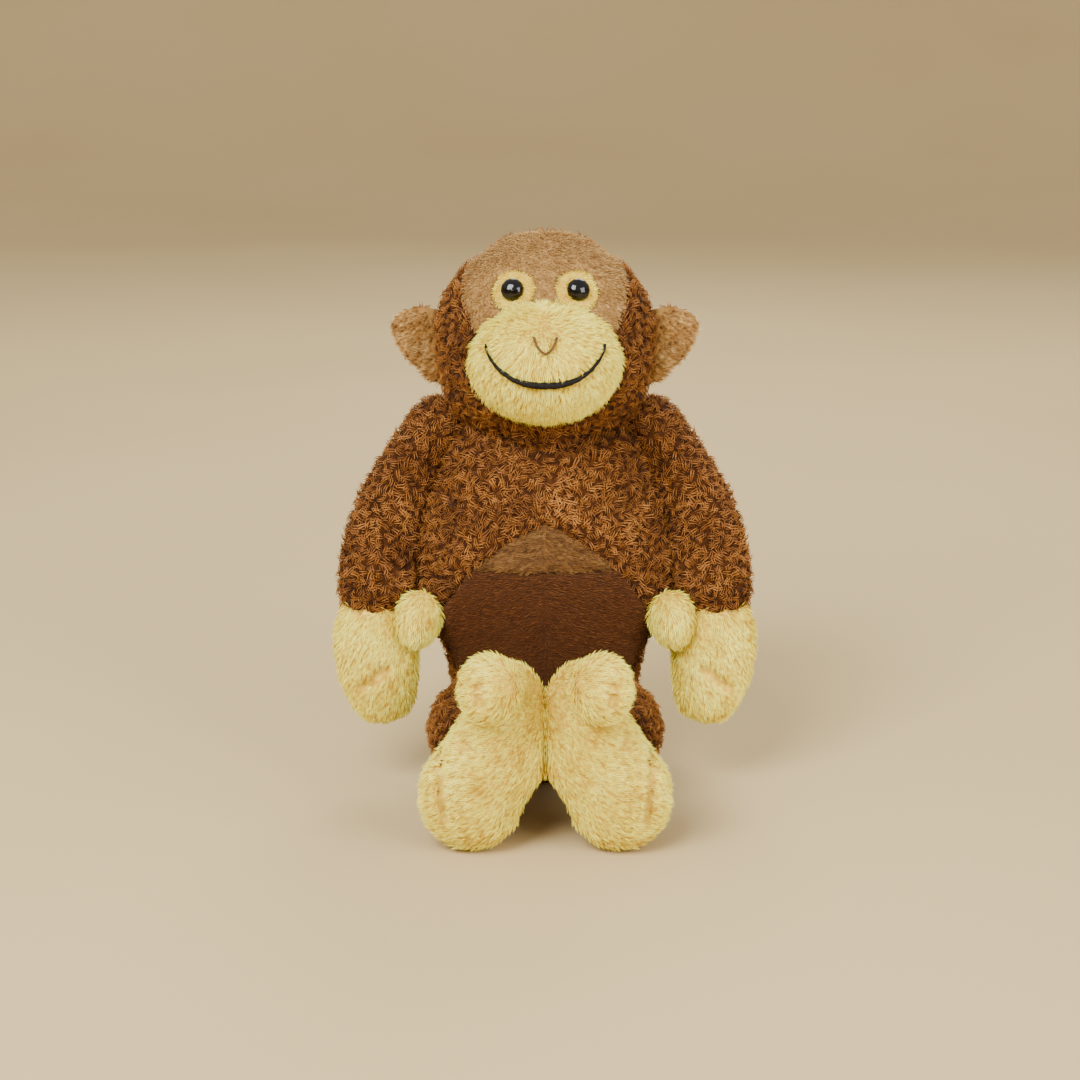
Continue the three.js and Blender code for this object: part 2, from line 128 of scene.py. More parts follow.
class Graph:
    """Adds nodes to a tree: a type, its settings, and the values or links of its sockets."""

    def __init__(self, tree):
        self.tree = tree

    def node(self, kind, settings=None, sockets=None):
        made = self.tree.nodes.new(kind)
        for name, value in (settings or {}).items():
            if name == "stops":
                self._stops(made.color_ramp, value)
            else:
                setattr(made, name, value)
        for name, value in (sockets or {}).items():
            source = value.socket if isinstance(value, Wire) else value
            if isinstance(source, bpy.types.NodeSocket):
                self.tree.links.new(source, made.inputs[name])
            else:
                made.inputs[name].default_value = source
        return made

    @staticmethod
    def _stops(ramp, stops):
        while len(ramp.elements) < len(stops):
            ramp.elements.new(0.5)
        for element, (place, colour) in zip(ramp.elements, stops):
            element.position = place
            element.color = (*colour, 1)

    def wire(self, kind, settings=None, sockets=None, output=0):
        return Wire(self, self.node(kind, settings, sockets).outputs[output])


class Material(Graph):
    """A material with one Principled shader, and the patterns that a cloth needs."""

    def __init__(self, name, **constants):
        self.material = bpy.data.materials.new(name)
        self.material.use_nodes = True
        super().__init__(self.material.node_tree)
        self.shader = self.tree.nodes["Principled BSDF"]
        for socket, value in constants.items():
            self.shader.inputs[socket.replace("_", " ")].default_value = value
        self.place = self.node("ShaderNodeTexCoord").outputs["Object"]

    def noise(self, scale, detail=2.0, stretch=None):
        place = self.place
        if stretch:
            place = self.node("ShaderNodeMapping", None, {"Vector": place, "Scale": stretch}).outputs[0]
        return self.wire("ShaderNodeTexNoise", None, {"Vector": place, "Scale": scale, "Detail": detail})

    def ramp(self, factor, stops):
        return self.node("ShaderNodeValToRGB", {"stops": stops}, {"Fac": factor}).outputs["Color"]

    def attribute(self, name):
        return self.wire("ShaderNodeAttribute", {"attribute_name": name}, output=2)

    def feed(self, **sockets):
        for name, source in sockets.items():
            source = source.socket if isinstance(source, Wire) else source
            self.tree.links.new(source, self.shader.inputs[name.replace("_", " ")])

    def bump(self, height, strength, distance):
        made = self.node("ShaderNodeBump", None, {
            "Height": height, "Strength": strength, "Distance": distance})
        self.feed(Normal=made.outputs[0])


def linear(colour):
    """A colour as a screen shows it, from 0 to 255, in the renderer's linear values."""
    return tuple((c / 255 / 12.92) if c <= 10 else ((c / 255 + 0.055) / 1.055) ** 2.4 for c in colour)


def pile_material(name, root, middle, tip, fold_shade_scale=60, sheen=0.04,
                  fold_shade_weight=0.3, grain=None, clump_shade_weight=0.7):
    """Pile: painted shade at its root, painted highlight at its tip, painted shade and highlight of folds and tuft
    clusters in blotches, and a little different from tuft to tuft.
    """
    m = Material(name, Roughness=0.62, Sheen_Weight=sheen, Sheen_Roughness=0.4, Specular_IOR_Level=0.15)
    along = m.attribute("along")
    shade = m.attribute("shade")
    # Painted shade and highlight: broad blotches stand for folds, small ones for tuft clusters.
    painted_fold_shade = m.noise(fold_shade_scale, 2.0, grain)
    painted_clump_shade = m.noise(CLUMP_SHADE_SCALE, 2.0, grain)
    height = along * 0.62 + shade * 0.3 + painted_fold_shade * fold_shade_weight + painted_clump_shade * clump_shade_weight - (
        0.04 + clump_shade_weight * 0.4 + fold_shade_weight * 0.5)
    # The ramp paints shade at each strand's root and a highlight at its tip.
    colour = m.ramp(height, [(0.05, linear(root)), (0.5, linear(middle)), (0.95, linear(tip))])
    m.feed(Base_Color=colour)
    return m.material


def ground_material(name, dark, light, ribs=None):
    """The knitted backing that shows between the tufts. The brown and cream backings are darker than their pile:
    painted shade deep in the pile, in creases and in seams.
    """
    m = Material(name, Roughness=0.9, Sheen_Weight=0.05, Specular_IOR_Level=0.1)
    mottle = m.noise(260, 4.0, ribs)
    m.feed(Base_Color=m.ramp(mottle, [(0.3, linear(dark)), (0.7, linear(light))]))
    m.bump(m.noise(900, 3.0, ribs), 0.5, 0.6 * MM)
    return m.material


BROWN_PILE = pile_material(
    "curly_brown_pile", (54, 27, 8), (136, 83, 34), (212, 148, 76), 50, fold_shade_weight=0.7, clump_shade_weight=0.45)
CREAM_PILE = pile_material(
    "long_cream_pile", (206, 160, 36), (255, 243, 92), (255, 255, 138), 70, fold_shade_weight=0.8, clump_shade_weight=0.9)
FACE_PILE = pile_material(
    "short_tan_pile", (118, 84, 42), (180, 140, 82), (226, 194, 136), 150, fold_shade_weight=0.5)
EAR_PILE = pile_material(
    "streaky_ear_pile", (84, 50, 18), (170, 124, 64), (244, 212, 144), 200, fold_shade_weight=0.7)
BELLY_PILE = pile_material(
    "dark_belly_velour", (50, 25, 8), (90, 51, 20), (132, 82, 38), 160,
    sheen=0.05, fold_shade_weight=0.5, grain=(1, 1, 7))
GUSSET_PILE = pile_material(
    "brushed_gusset_velour", (66, 40, 16), (110, 73, 34), (156, 116, 64), 130,
    sheen=0.1, fold_shade_weight=0.8, grain=(1, 1, 6))
# Painted shade: the brown and cream backings are darker than their pile, for the shade deep in the pile, in
# creases and in seams.
BROWN_SHADE_GROUND = ground_material("brown_backing_painted_shade", (38, 18, 5), (78, 43, 15))
CREAM_SHADE_GROUND = ground_material("cream_backing_painted_shade", (190, 150, 44), (234, 202, 88))
FACE_GROUND = ground_material("tan_backing", (124, 90, 48), (174, 135, 80))
EAR_GROUND = ground_material("ear_backing", (116, 78, 36), (172, 130, 70))
BELLY_GROUND = ground_material("belly_backing", (46, 23, 8), (84, 48, 20), (1, 1, 9))
GUSSET_GROUND = ground_material("gusset_backing", (80, 52, 24), (120, 82, 42), (1, 1, 9))
FIBRE = ground_material("white_fibre", (206, 202, 192), (244, 242, 236))
COTTON = ground_material("pellet_bag_cotton", (178, 172, 158), (214, 208, 194))


def moulded_material(name, colour, roughness, coat):
    """Moulded plastic: nearly even, with a faint haze where hands have polished it."""
    m = Material(name, Specular_IOR_Level=0.3, Coat_Weight=coat, Coat_Roughness=0.04)
    haze = m.noise(140, 3.0)
    m.feed(Base_Color=m.ramp(haze, [(0.3, linear(colour)), (0.7, linear([c + 5 for c in colour]))]))
    m.feed(Roughness=haze * 0.08 + (roughness - 0.04))
    return m.material


def thread_material(name, dark, light):
    """Twisted embroidery thread."""
    m = Material(name, Roughness=0.75, Specular_IOR_Level=0.2)
    twist = m.noise(1400, 2.0)
    m.feed(Base_Color=m.ramp(twist, [(0.35, linear(dark)), (0.65, linear(light))]))
    m.bump(twist, 0.6, 0.2 * MM)
    return m.material


EYE_BLACK = moulded_material("glossy_black_plastic", (4, 3, 3), 0.1, 0.3)
WASHER_WHITE = moulded_material("white_washer_plastic", (222, 220, 212), 0.5, 0.0)
SMILE_THREAD = thread_material("black_thread", (8, 6, 5), (30, 25, 22))
NOSE_THREAD = thread_material("brown_thread", (70, 48, 26), (112, 82, 46))


# ---- meshes ----
def link(name, mesh):
    made = bpy.data.objects.new(name, mesh)
    bpy.context.scene.collection.objects.link(made)
    return made


def copy_of(*nodes):
    """CAD nodes' triangles as one mesh, with their doubles merged."""
    bm = bmesh.new()
    for node in nodes:
        bm.from_mesh(frame["nodes"][node].data)
    bmesh.ops.remove_doubles(bm, verts=bm.verts, dist=1e-6)
    mesh = bpy.data.meshes.new(nodes[0])
    bm.to_mesh(mesh)
    bm.free()
    return mesh


def settled(made):
    """The object's mesh with its modifiers applied. The object itself is removed."""
    graph = bpy.context.evaluated_depsgraph_get()
    mesh = bpy.data.meshes.new_from_object(made.evaluated_get(graph), depsgraph=graph)
    old = made.data
    bpy.data.objects.remove(made)
    bpy.data.meshes.remove(old)
    return mesh


def remeshed(mesh, voxel, smoothing=4):
    made = link("remesh", mesh)
    remesh = made.modifiers.new("voxels", "REMESH")
    remesh.mode = "VOXEL"
    remesh.voxel_size = voxel
    smooth = made.modifiers.new("smooth", "SMOOTH")
    smooth.iterations = smoothing
    return settled(made)


def tree_of(mesh):
    bm = bmesh.new()
    bm.from_mesh(mesh)
    tree = BVHTree.FromBMesh(bm)
    bm.free()
    return tree


# ---- stuffed forms: cloth inflated by its filling ----
class Form:
    """A body's outer surface, before and after its filling pushes it out."""

    def __init__(self, body):
        self.body = body
        nodes = [n for n, b in BODY_OF.items() if b == body and "washer" not in n
                 and "stitch" not in n and not n.startswith("eye_left") and not n.startswith("eye_right")]
        self.mesh = remeshed(copy_of(*nodes), FORM_VOXEL, 2)
        self.surface = tree_of(self.mesh)
        self.rest = [v.co.copy() for v in self.mesh.vertices]
        self.near = kdtree.KDTree(len(self.rest))
        for i, point in enumerate(self.rest):
            self.near.insert(point, i)
        self.near.balance()
        self.push = [Vector() for _ in self.rest]
        self.others = tree_of(copy_of(*[n for n, b in BODY_OF.items() if b not in (body, "neck")]))
        self.free_reach = FREE_REACH.get(body, SOCKET_REACH)

    def start(self):
        self.cloth = link(self.body + "_cloth", self.mesh.copy())
        cloth = self.cloth.modifiers.new("filling", "CLOTH").settings
        cloth.use_pressure = True
        cloth.uniform_pressure_force = PRESSURE
        cloth.effector_weights.gravity = 0
        cloth.mass = 0.15
        cloth.tension_stiffness = 12
        cloth.bending_stiffness = 0.4

    def finish(self):
        graph = bpy.context.evaluated_depsgraph_get()
        swollen = self.cloth.evaluated_get(graph).data
        limit = SWELL.get(self.body, USUAL_SWELL)
        for i, vertex in enumerate(swollen.vertices):
            push = vertex.co - self.rest[i]
            self.push[i] = push * min(1, limit / max(push.length, 1e-9))
        bpy.data.objects.remove(self.cloth)

    def press(self):
        """Rounds the form off and moves it halfway towards each limb that it lies against."""
        bm = bmesh.new()
        bm.from_mesh(self.mesh)
        for v, push in zip(bm.verts, self.push):
            v.co += push
        volume = bm.calc_volume()
        for _ in range(SOFTENING.get(self.body, 1)):
            bmesh.ops.smooth_vert(bm, verts=bm.verts, factor=0.5,
                                  use_axis_x=True, use_axis_y=True, use_axis_z=True)
        bm.normal_update()
        regrow = (volume - bm.calc_volume()) / sum(f.calc_area() for f in bm.faces)
        for v in bm.verts:
            v.co += v.normal * (regrow + FULLNESS.get(self.body, 0))
        moves = []
        for v in bm.verts:
            near, _, _, distance = self.others.find_nearest(v.co)
            towards = (near - v.co) / max(distance, 1e-9)
            facing = min(1, max(0, (towards.dot(v.normal) - 0.1) / 0.5))
            fade = min(1, max(0, (TOUCH_REACH - distance) / (0.4 * TOUCH_REACH)))
            moves.append((near - v.co) * 0.5 * facing * fade)
        for _ in range(2):
            moves = [sum((moves[e.other_vert(v).index] for e in v.link_edges), moves[v.index] * 2)
                     / (len(v.link_edges) + 2) for v in bm.verts]
        self.push = [v.co + move - rest for v, move, rest in zip(bm.verts, moves, self.rest)]
        bm.free()

    def pushed(self, point):
        """Where the filling pushes a point of the cloth to."""
        found = self.near.find_n(point, 4)
        weights = [1 / (distance + 0.2 * MM) for _, _, distance in found]
        moved = sum((self.push[i] * w for (_, i, _), w in zip(found, weights)), Vector())
        moved = point + moved / sum(weights)
        return Vector((moved.x, moved.y, max(moved.z, FLOOR_ROOM)))

    def depth(self, point):
        return self.surface.find_nearest(point)[3]


FORMS = {body: Form(body) for body in (
    "torso", "neck", "head", "left_ear", "left_arm",
    "left_hand", "left_thumb", "left_leg", "left_foot", "left_big_toe")}


def inflate_all():
    """Runs every form's cloth together, one frame at a time."""
    for form in FORMS.values():
        form.start()
    for step in range(1, FRAMES + 1):
        bpy.context.scene.frame_set(step)
    for form in FORMS.values():
        form.finish()
    bpy.context.scene.frame_set(1)


inflate_all()
for form in FORMS.values():
    form.press()

STITCHES = tree_of(copy_of("smile_stitch", "nose_stitch"))


def neighbours(body):
    """The surfaces of every other body's solids, where no pile grows."""
    others = [n for n, b in BODY_OF.items() if b != body]
    return tree_of(copy_of(*others))


# ---- tufts ----
def tuft(name, material, strands, length, radius, bends, spread=0.0):
    """A few tapered three-sided strands. along runs from 0 at the root to 1 at the tip."""
    bm = bmesh.new()
    along = bm.verts.layers.float.new("along")
    segments = len(bends) + 1
    for i in range(strands):
        made = bmesh.ops.create_cone(bm, cap_ends=True, segments=3, radius1=radius, radius2=radius * 0.12,
                                     depth=length, matrix=Matrix.Translation((0, 0, length / 2)))["verts"]
        for cut in range(1, segments):
            bmesh.ops.bisect_plane(
                bm, geom=list({*made, *(e for v in made for e in v.link_edges),
                               *(f for v in made for f in v.link_faces)}),
                plane_co=(0, 0, length * cut / segments), plane_no=UP)
            made = connected(made)
        for v in made:
            v[along] = v.co.z / length
        for cut, bend in enumerate(bends, 1):
            height = length * (cut - 0.5) / segments
            above = [v for v in made if v[along] * segments > cut - 0.25]
            bmesh.ops.rotate(bm, verts=above, cent=(0, 0, height), matrix=Matrix.Rotation(-bend, 3, "X"))
        tip = [v for v in made if v[along] > 0.99]
        bmesh.ops.pointmerge(bm, verts=tip, merge_co=sum((v.co for v in tip), Vector()) / len(tip))
        made = [v for v in made if v.is_valid]
        turn = 2 * math.pi * i / strands
        offset = Vector((math.cos(turn), math.sin(turn), 0)) * spread
        bmesh.ops.rotate(bm, verts=made, cent=(0, 0, 0), matrix=Matrix.Rotation(turn + 0.6 * i, 3, "Z")
                         if spread and len(bends) > 1 else Matrix.Rotation(0.35 * math.sin(2.4 * i), 3, "Z"))
        bmesh.ops.translate(bm, verts=made, vec=offset)
    mesh = bpy.data.meshes.new(name)
    bm.to_mesh(mesh)
    bm.free()
    mesh.materials.append(material)
    made = bpy.data.objects.new(name, mesh)
    return made


def connected(verts):
    """Every vertex joined to these by edges."""
    found = set(verts)
    todo = list(verts)
    while todo:
        for edge in todo.pop().link_edges:
            for v in edge.verts:
                if v not in found:
                    found.add(v)
                    todo.append(v)
    return list(found)


class Pile:
    """A kind of pile: its tuft, how close the tufts stand, and how they lie."""

    def __init__(self, tuft, spacing, lean, spread, size):
        self.tuft = tuft
        self.spacing = spacing * MM
        self.lean = lean  # least and most angle from upright, in radians
        self.spread = spread  # how far it may turn from the nap, in radians
        self.size = size  # least and most scale

    def tree(self, seed):
        tree = bpy.data.node_groups.new("pile", "GeometryNodeTree")
        tree.interface.new_socket("Geometry", in_out="INPUT", socket_type="NodeSocketGeometry")
        tree.interface.new_socket("Geometry", in_out="OUTPUT", socket_type="NodeSocketGeometry")
        g = Graph(tree)
        cloth = g.node("NodeGroupInput").outputs[0]
        cover = g.node("GeometryNodeInputNamedAttribute", {"data_type": "FLOAT"}, {"Name": "cover"})
        nap = g.node("GeometryNodeInputNamedAttribute", {"data_type": "FLOAT_VECTOR"}, {"Name": "nap"})
        spacing = self.spacing * 1
        points = g.node("GeometryNodeDistributePointsOnFaces", {"distribute_method": "POISSON"}, {
            "Mesh": cloth, "Distance Min": spacing, "Density Max": 2 / spacing**2,
            "Density Factor": cover.outputs["Attribute"], "Seed": seed})
        combed = g.node("FunctionNodeAlignRotationToVector", {"axis": "Y", "pivot_axis": "Z"}, {
            "Rotation": points.outputs["Rotation"], "Vector": nap.outputs["Attribute"]})
        turn = g.node("FunctionNodeRandomValue", {"data_type": "FLOAT_VECTOR"}, {
            0: (-self.lean[1], -0.15, -self.spread), 1: (-self.lean[0], 0.15, self.spread), "Seed": seed + 1})
        laid = g.node("FunctionNodeRotateRotation", {"rotation_space": "LOCAL"}, {
            "Rotation": combed.outputs[0], "Rotate By": turn.outputs[0]})
        size = g.node("FunctionNodeRandomValue", {"data_type": "FLOAT"}, {
            2: self.size[0], 3: self.size[1], "Seed": seed + 2})
        shape = g.node("GeometryNodeObjectInfo", None, {"Object": self.tuft})
        grown = g.node("GeometryNodeInstanceOnPoints", None, {
            "Points": points.outputs["Points"], "Instance": shape.outputs["Geometry"],
            "Rotation": laid.outputs[0], "Scale": size.outputs[1]})
        shade = g.node("FunctionNodeRandomValue", {"data_type": "FLOAT"}, {2: 0.0, 3: 1.0, "Seed": seed + 3})
        marked = g.node("GeometryNodeStoreNamedAttribute", {"data_type": "FLOAT", "domain": "INSTANCE"}, {
            "Geometry": grown.outputs[0], "Name": "shade", "Value": shade.outputs[1]})
        real = g.node("GeometryNodeRealizeInstances", None, {"Geometry": marked.outputs[0]})
        g.node("NodeGroupOutput", None, {0: real.outputs[0]})
        return tree


CURLS = Pile(tuft("curl", BROWN_PILE, 2, 4.4 * MM, 0.36 * MM, (0.9,), 0.4 * MM), 1.35,
             (0.1, 0.8), math.pi, (0.7, 1.2))
LOCKS = Pile(tuft("lock", CREAM_PILE, 2, 3.6 * MM, 0.28 * MM, (0.3,), 0.3 * MM), 1.0,
             (0.75, 1.15), 0.45, (0.7, 1.2))
CHEEK_LOCKS = Pile(tuft("cheek_lock", CREAM_PILE, 2, 3.4 * MM, 0.27 * MM, (0.3,), 0.3 * MM), 0.88,
                   (0.55, 1.0), 0.5, (0.7, 1.2))
EYELID_LOCKS = Pile(tuft("eyelid_lock", CREAM_PILE, 2, 1.5 * MM, 0.2 * MM, (), 0.2 * MM), 0.65,
                    (0.3, 0.9), 0.9, (0.7, 1.1))
PILES = {
    "brown_plush": CURLS,
    "cream_plush": LOCKS,
    "face_plush": Pile(tuft("bristle", FACE_PILE, 2, 2.2 * MM, 0.24 * MM, (), 0.3 * MM), 0.9,
                       (0.4, 1.0), 0.8, (0.7, 1.1)),
    "ear_plush": Pile(tuft("ear_lock", EAR_PILE, 2, 3.6 * MM, 0.28 * MM, (0.3,), 0.3 * MM), 1.05,
                      (0.75, 1.15), 0.3, (0.7, 1.1)),
    "belly_velour": Pile(tuft("nap", BELLY_PILE, 1, 2.0 * MM, 0.26 * MM, ()), 0.75,
                         (0.9, 1.3), 0.25, (0.7, 1.2)),
    "gusset_velour": Pile(tuft("brushed_nap", GUSSET_PILE, 2, 3.2 * MM, 0.32 * MM, (0.2,), 0.3 * MM), 0.95,
                          (0.9, 1.25), 0.5, (0.7, 1.2)),
}
OWN_PILES = {"muzzle_top": CHEEK_LOCKS, "chin": CHEEK_LOCKS, "eye_patch": EYELID_LOCKS}
GROUNDS = {"brown_plush": BROWN_SHADE_GROUND, "cream_plush": CREAM_SHADE_GROUND, "face_plush": FACE_GROUND,
           "ear_plush": EAR_GROUND, "belly_velour": BELLY_GROUND, "gusset_velour": GUSSET_GROUND}


def nap_down(point):
    return Vector((0.25 * point.x / (50 * MM), -0.1, -1))


def nap_muzzle(point):
    """The muzzle is combed away from the nose."""
    nose = head_point(0, -60, 0)
    away = point - nose
    return away - away.dot(HEAD_BACK) * HEAD_BACK + 0.004 * -HEAD_UP


def nap_face(point):
    return HEAD_UP * -1 + X * math.copysign(0.3, point.x)


def nap_foot(point):
    """A foot is combed outwards and a little down."""
    return Vector((math.copysign(1.0, point.x), 0.1, -0.3))


def nap_side(point):
    return Vector((math.copysign(1.0, point.x), 0, -0.25))


def nap_ear(point):
    return Vector((math.copysign(1.0, point.x), 0.2, -0.55))


NAPS = {"muzzle_top": nap_muzzle, "chin": nap_muzzle, "face_panel": nap_face, "foot_sole": nap_foot,
        "foot_upper": nap_foot, "big_toe": nap_foot, "belly_panel": nap_side, "belly_gusset": nap_side,
        "ear_front": nap_ear}


def bell(distance, width):
    return math.exp(-((distance / width) ** 2))


def belly_seam(point, normal):
    """The seam down the middle of the lower belly."""
    low = min(1, max(0, (92 * MM - point.z) / (12 * MM)))
    return point - normal * 1.3 * MM * bell(point.x, 1.7 * MM) * low


def foot_seam(point, normal):
    """A sunk seam on the outer side of the sole, with the cloth gathered along its inner side."""
    from_seam = abs(point.x) - SOLE_SEAM_X - 0.1 * (point.z - SOLE_SEAM_Z)
    front = min(1, max(0, (-normal.y - 0.1) / 0.3))
    along = min(1, max(0, (SOLE_SEAM_TOP - abs(point.z - SOLE_SEAM_Z)) / (6 * MM)))
    groove = -3.6 * MM * bell(from_seam, 2.1 * MM) + 1.2 * MM * bell(from_seam + 4.4 * MM, 2.2 * MM)
    gather = 1.1 * MM * math.sin(point.z / (0.8 * MM)) * bell(from_seam + 5 * MM, 4 * MM)
    return point + normal * (groove + gather) * front * along


def tacked(point, normal, centre, depth, width):
    """A stitch through the filling pulls the cloth in."""
    return point - normal * depth * bell((point - centre).length, width)


def creased(point, normal, centre, reach, depth, width):
    """A short line of stitches pulls the cloth in, from the centre to this reach each way."""
    share = (point - centre).dot(reach) / reach.length_squared
    nearest = centre + reach * min(1, max(-1, share))
    return point - normal * depth * bell((point - nearest).length, width)


def toe_pinch(point, normal):
    return creased(point, normal, TOE_TACK, Vector((0.5, 0, 4.5)) * MM, 3.6 * MM, 2.2 * MM)


def palm_tack(point, normal):
    return creased(point, normal, PALM_TACK, Vector((-5, 0, 4)) * MM, 4 * MM, 2.6 * MM)


def sole_details(point, normal):
    return tacked(foot_seam(point, normal), normal, SOLE_TACK, 1.8 * MM, 5 * MM)


def shoulders(point, normal):
    """The cloth rises between the neck and each arm."""
    top = min(1, max(0, (point.z - 144 * MM) / (10 * MM)))
    rise = (UP * 5.5 + X * math.copysign(2, point.x)) * MM
    return point + rise * bell(abs(point.x) - 36 * MM, 10 * MM) * top


def ear_taper(point, normal):
    """An ear is widest at its top, and its lower edge runs in to the cheek. Its front is hollow."""
    low = min(1, max(0, (EAR_PLACE.z - 2 * MM - point.z) / (16 * MM)))
    out = abs(point.x) - EAR_ROOT_X
    high = min(1, max(0, (point.z - EAR_PLACE.z + 2 * MM) / (12 * MM)))
    shift = out * (0.3 * high - 0.5 * low) if out > 0 else 0.0
    return point + X * math.copysign(1, point.x) * shift


def ear_hollow(point, normal):
    middle = Vector((EAR_HOLLOW_X, point.y, EAR_PLACE.z + 1 * MM))
    return ear_taper(tacked(point, Vector((0, -1, 0)), middle, 3.2 * MM, 8 * MM), normal)


SOLE_SEAM_X = 43.5 * MM
SOLE_SEAM_Z = 32 * MM
SOLE_SEAM_TOP = 20 * MM
EAR_ROOT_X = 42 * MM
EAR_HOLLOW_X = 55 * MM
SCULPTED = {"belly_panel": belly_seam, "foot_sole": sole_details, "hand": palm_tack, "big_toe": toe_pinch,
            "chest_front": shoulders, "back_panel": shoulders, "ear_front": ear_hollow, "ear_back": ear_taper}


def surface_point(node, across, up):
    """The front of a CAD node, at these shares of its width and height."""
    low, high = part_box(node)
    start = Vector((low[0] + across * (high[0] - low[0]), low[1] - 20 * MM, low[2] + up * (high[2] - low[2])))
    hit = tree_of(copy_of(node)).ray_cast(start, Vector((0, 1, 0)))[0]
    return hit or start + 20 * MM * Vector((0, 1, 0))


PALM_TACK = surface_point("hand_left", 0.5, 0.42)
TOE_TACK = surface_point("big_toe_left", 0.64, 0.5)
SOLE_TACK = surface_point("foot_sole_left", 0.6, 0.6)


def to_middle_seam(point, node):
    """Half of a mirrored pair reaches its twin at the middle seam."""
    if not node.startswith(("back_panel", "hood")) or point.x > SEAM_EASE:
        return point
    share = 1 - max(0, point.x) / SEAM_EASE
    return Vector((max(point.x - SEAM_SHORT * share, 0.03 * MM), point.y, point.z))


def sculpted(base, point, normal):
    return SCULPTED[base](point, normal) if base in SCULPTED else point


def sewn(node, form, others, seed):
    """A panel of cloth and its pile, from a CAD node. Returns the two meshes."""
    base = node.removesuffix("_left").removesuffix("_right")
    slot = SLOT_OF[node]
    ground = remeshed(copy_of(node), GROUND_VOXEL)
    cover = ground.attributes.new("cover", "FLOAT", "POINT")
    nap = ground.attributes.new("nap", "FLOAT_VECTOR", "POINT")
    nap_at = NAPS.get(base, nap_down)
    for i, vertex in enumerate(ground.vertices):
        point = vertex.co
        outside = form.depth(point) < HIDDEN_DEPTH
        reach = CUFF_REACH if base == "sleeve" and point.z < CUFF_TOP else form.free_reach
        free = others.find_nearest(point)[3] > reach and point.z > 1.5 * MM
        free = free and STITCHES.find_nearest(point)[3] > STITCH_ROOM
        cover.data[i].value = 1.0 if outside and free else 0.0
        nap.data[i].vector = nap_at(point)
        moved = form.pushed(point) + vertex.normal * SEAM_FILL
        vertex.co = to_middle_seam(sculpted(base, moved, vertex.normal), node)
        if base in STITCHED and (moved - vertex.co).dot(vertex.normal) > BARE_DEPTH:
            cover.data[i].value *= BARE_COVER
    ground.materials.clear()
    ground.materials.append(GROUNDS[slot])
    ground.polygons.foreach_set("use_smooth", [True] * len(ground.polygons))
    fur = link("pile", ground.copy())
    modifier = fur.modifiers.new("pile", "NODES")
    modifier.node_group = OWN_PILES.get(base, PILES[slot]).tree(seed)
    pile = settled(fur)
    for vertex in pile.vertices:
        vertex.co.z = max(vertex.co.z, FLOOR_ROOM)
    return ground, pile


def mirrored(mesh):
    bm = bmesh.new()
    bm.from_mesh(mesh)
    bmesh.ops.scale(bm, vec=(-1, 1, 1), verts=bm.verts)
    bmesh.ops.reverse_faces(bm, faces=bm.faces)
    made = mesh.copy()
    bm.to_mesh(made)
    bm.free()
    return made


def place(node, mesh, name=None):
    """Puts a finished mesh in the toy, riding on its node's body."""
    piece = link(name or node + "_cloth", mesh)
    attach(piece, BODY_OF[node])
    return piece


def build_panel(node, form, others, seed):
    ground, pile = sewn(node, form, others, seed)
    cloth = place(node, ground)
    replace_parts(cloth, node)
    place(node, pile, node + "_pile")
    if node.endswith("_left"):
        twin = node.replace("_left", "_right")
        cloth = place(twin, mirrored(ground))
        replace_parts(cloth, twin)
        place(twin, mirrored(pile), twin + "_pile")


def build_cloth():
    seed = 11
    for body, form in FORMS.items():
        others = neighbours(body)
        for node in frame["record"]["behaviour"]["bodies"][body]:
            if SLOT_OF[node] in PILES and not node.endswith("_right"):
                seed += 10
                build_panel(node, form, others, seed)


# ---- face details ----
def build_eyes():
    """Domed buttons that sit as far out as the cloth round them."""
    for side in SIDES:
        node = "eye_" + side
        mesh = remeshed(copy_of(node), EYE_VOXEL)
        low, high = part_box(node)
        shift = FORMS["head"].pushed((Vector(low) + Vector(high)) / 2) - (Vector(low) + Vector(high)) / 2
        mesh.transform(Matrix.Translation(shift))
        mesh.materials.clear()
        mesh.materials.append(EYE_BLACK)
        mesh.polygons.foreach_set("use_smooth", [True] * len(mesh.polygons))
        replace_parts(place(node, mesh, node + "_button"), node)
        frame["nodes"]["eye_washer_" + side].data.materials.clear()
        frame["nodes"]["eye_washer_" + side].data.materials.append(WASHER_WHITE)


def build_embroidery():
    """The smile is thickest at its middle. Both lines stand a little out of the pile."""
    for node, thread, height, fattest in (
            ("smile_stitch", SMILE_THREAD, 0.6, 0.75),
            ("nose_stitch", NOSE_THREAD, 1.3, 0.0)):
        bm = bmesh.new()
        bm.from_mesh(copy_of(node))
        bmesh.ops.recalc_face_normals(bm, faces=bm.faces)
        bmesh.ops.subdivide_edges(bm, edges=bm.edges, cuts=1, use_grid_fill=True, smooth=0.5)
        bm.normal_update()
        moves = [v.normal * fattest * MM * (0.85 - (v.co.x / (22 * MM)) ** 2 + 0.5 * noise.noise(v.co * 900))
                 for v in bm.verts]
        for v, move in zip(bm.verts, moves):
            v.co = FORMS["head"].pushed(v.co) + move - HEAD_BACK * height * MM
        mesh = bpy.data.meshes.new(node)
        bm.to_mesh(mesh)
        bm.free()
        mesh.materials.append(thread)
        mesh.polygons.foreach_set("use_smooth", [True] * len(mesh.polygons))
        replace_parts(place(node, mesh, node + "_thread"), node)


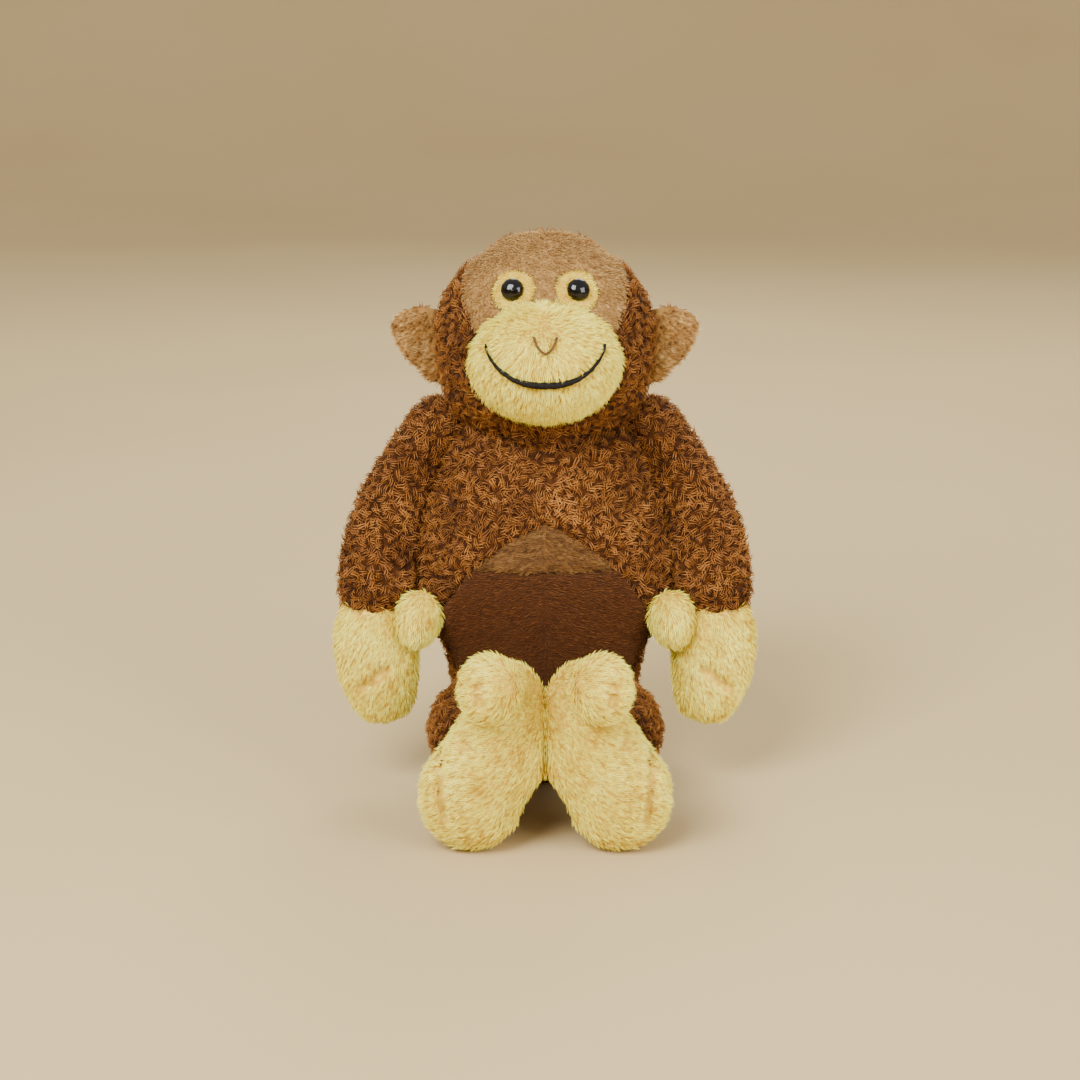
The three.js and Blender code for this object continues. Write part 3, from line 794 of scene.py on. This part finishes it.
# ---- inside ----
def build_fillings():
    for node, slot in SLOT_OF.items():
        if slot not in ("polyester_filling", "pellet_bag"):
            continue
        mesh = remeshed(copy_of(node), FILLING_VOXEL)
        others = neighbours(BODY_OF[node])
        for vertex in mesh.vertices:
            lump = noise.noise(vertex.co * 90) - 0.35
            clear = FILLING_ROOM * (2 if others.find_nearest(vertex.co)[3] < 4 * MM else 1)
            vertex.co += vertex.normal * (min(0.0, lump) * 1.2 * MM - clear)
        mesh.materials.clear()
        mesh.materials.append(COTTON if slot == "pellet_bag" else FIBRE)
        mesh.materials.append(CREAM_SHADE_GROUND if node.startswith(("hand", "foot")) else BROWN_SHADE_GROUND)
        for face in mesh.polygons:
            # cloth closes the end of a limb, so no filling shows at a joint
            face.material_index = 1 if others.find_nearest(face.center)[3] < CLOSED_REACH else 0
        piece = place(node, mesh, node + "_lump")
        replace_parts(piece, node)


# ---- camera, light and floor ----
VIEW_TARGET = Vector((-2.3, -20, 118)) * MM
VIEW_ELEVATION = math.radians(14.5)
VIEW_DISTANCE = 1.0
LENS = 73.3


def build_stage():
    camera = bpy.data.objects.new("camera", bpy.data.cameras.new("camera"))
    bpy.context.scene.collection.objects.link(camera)
    back = Vector((0, -math.cos(VIEW_ELEVATION), math.sin(VIEW_ELEVATION)))
    camera.location = VIEW_TARGET + back * VIEW_DISTANCE
    camera.rotation_euler = (-back).to_track_quat("-Z", "Y").to_euler()
    camera.data.lens = LENS
    camera.data.sensor_width = 36
    bpy.context.scene.camera = camera

    bm = bmesh.new()
    rim = bm.verts.new((0, 0, 0))
    profile = [rim]
    for reach, height in ((2.2, 0), (2.8, 0.08), (3.2, 0.35), (3.45, 0.8), (3.55, 1.6)):
        profile.append(bm.verts.new((reach, 0, height)))
    edges = [bm.edges.new(pair) for pair in zip(profile, profile[1:])]
    bmesh.ops.spin(bm, geom=profile + edges, cent=(0, 0, 0), axis=UP,
                   angle=2 * math.pi, steps=48, use_merge=True)
    bmesh.ops.remove_doubles(bm, verts=bm.verts, dist=1e-5)
    mesh = bpy.data.meshes.new("floor")
    bm.to_mesh(mesh)
    bm.free()
    mesh.polygons.foreach_set("use_smooth", [True] * len(mesh.polygons))
    floor = link("floor", mesh)
    paper = Material("floor_paper", Roughness=0.9, Specular_IOR_Level=0.1)
    stops = [(0.3, linear((200, 176, 128))), (0.7, linear((206, 182, 135)))]
    paper.feed(Base_Color=paper.ramp(paper.noise(2.0), stops))
    mesh.materials.append(paper.material)

    world = bpy.data.worlds.new("studio")
    world.use_nodes = True
    world.node_tree.nodes["Background"].inputs["Color"].default_value = (1.0, 0.97, 0.92, 1)
    world.node_tree.nodes["Background"].inputs["Strength"].default_value = 0.75
    bpy.context.scene.world = world
    for name, place_at, size, power in (
            ("key", (-0.7, -1.2, 1.3), 0.9, 50),
            ("fill", (1.1, -1.1, 0.7), 0.9, 23),
            ("rim", (0.2, 1.2, 1.2), 0.8, 14)):
        lamp = bpy.data.lights.new(name, "AREA")
        lamp.size = size
        lamp.energy = power
        light = bpy.data.objects.new(name, lamp)
        light.location = place_at
        light.rotation_euler = (VIEW_TARGET - Vector(place_at)).to_track_quat("-Z", "Y").to_euler()
        bpy.context.scene.collection.objects.link(light)


build_stage()
build_cloth()
build_eyes()
build_embroidery()
build_fillings()
